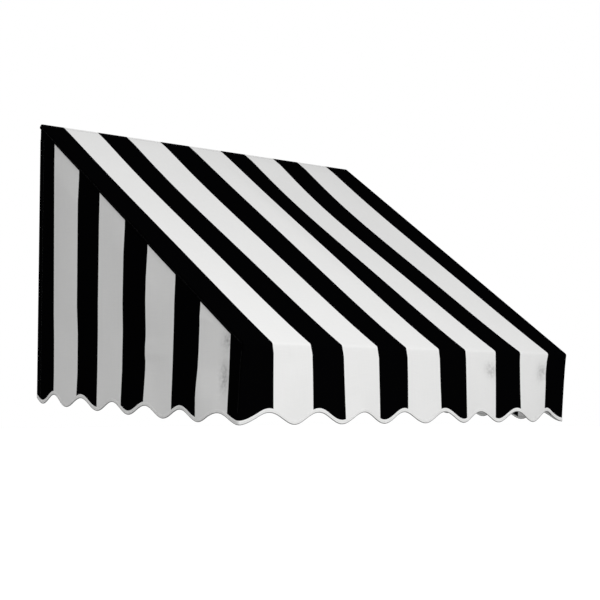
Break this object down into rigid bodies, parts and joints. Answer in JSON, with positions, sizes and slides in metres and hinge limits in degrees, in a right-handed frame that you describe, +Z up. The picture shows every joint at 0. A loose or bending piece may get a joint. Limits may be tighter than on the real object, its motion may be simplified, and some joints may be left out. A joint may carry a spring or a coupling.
{
  "type": "fabric awning",
  "caption": "Sloping striped canvas window awning with side wings and a scalloped valance on a fixed tube frame with wall brackets.",
  "frame": {"origin": "middle of the centre wall bracket's back face, on the wall plane", "axes": "+Y into the wall, +X along the wall to the right seen from in front, +Z up"},
  "size_m": [1.3276, 1.0459, 0.9374],
  "materials": {
    "striped_canvas": "matt woven canvas with black stripes",
    "edge_tape": "matt woven tape",
    "tie_webbing": "matt webbing",
    "galvanised_tube": "galvanised",
    "cast_fittings": "satin grey",
    "plated_brackets": "zinc plated",
    "plated_fasteners": "zinc plated"
  },
  "bodies": {
    "root": {"top_panel": "striped_canvas", "left_wing": "striped_canvas", "right_wing": "striped_canvas", "edge_tape": "edge_tape", "left_head_bar": "galvanised_tube", "left_front_bar": "galvanised_tube", "left_rafter": "galvanised_tube", "left_upright": "galvanised_tube", "left_arm": "galvanised_tube", "left_head_corner": "cast_fittings", "left_front_corner": "cast_fittings", "left_rear_corner": "cast_fittings", "left_bracket": "plated_brackets", "left_foot": "plated_brackets", "left_foot_screw": "plated_fasteners", "left_front_tie": "tie_webbing", "left_arm_tie": "tie_webbing", "right_head_bar": "galvanised_tube", "right_front_bar": "galvanised_tube", "right_rafter": "galvanised_tube", "right_upright": "galvanised_tube", "right_arm": "galvanised_tube", "right_head_corner": "cast_fittings", "right_front_corner": "cast_fittings", "right_rear_corner": "cast_fittings", "right_bracket": "plated_brackets", "right_foot": "plated_brackets", "right_foot_screw": "plated_fasteners", "right_front_tie": "tie_webbing", "right_arm_tie": "tie_webbing", "centre_rafter": "galvanised_tube", "head_tee": "cast_fittings", "front_tee": "cast_fittings", "centre_bracket": "plated_brackets", "rivet_01": "plated_fasteners", "rivet_02": "plated_fasteners", "rivet_03": "plated_fasteners", "rivet_04": "plated_fasteners", "rivet_05": "plated_fasteners", "rivet_06": "plated_fasteners", "rivet_07": "plated_fasteners", "rivet_08": "plated_fasteners", "rivet_09": "plated_fasteners", "rivet_10": "plated_fasteners", "rivet_11": "plated_fasteners", "rivet_12": "plated_fasteners", "rivet_13": "plated_fasteners", "rivet_14": "plated_fasteners", "rivet_15": "plated_fasteners", "rivet_16": "plated_fasteners", "rivet_17": "plated_fasteners", "rivet_18": "plated_fasteners", "rivet_19": "plated_fasteners", "rivet_20": "plated_fasteners", "rivet_21": "plated_fasteners", "rivet_22": "plated_fasteners"}
  },
  "joints": []
}
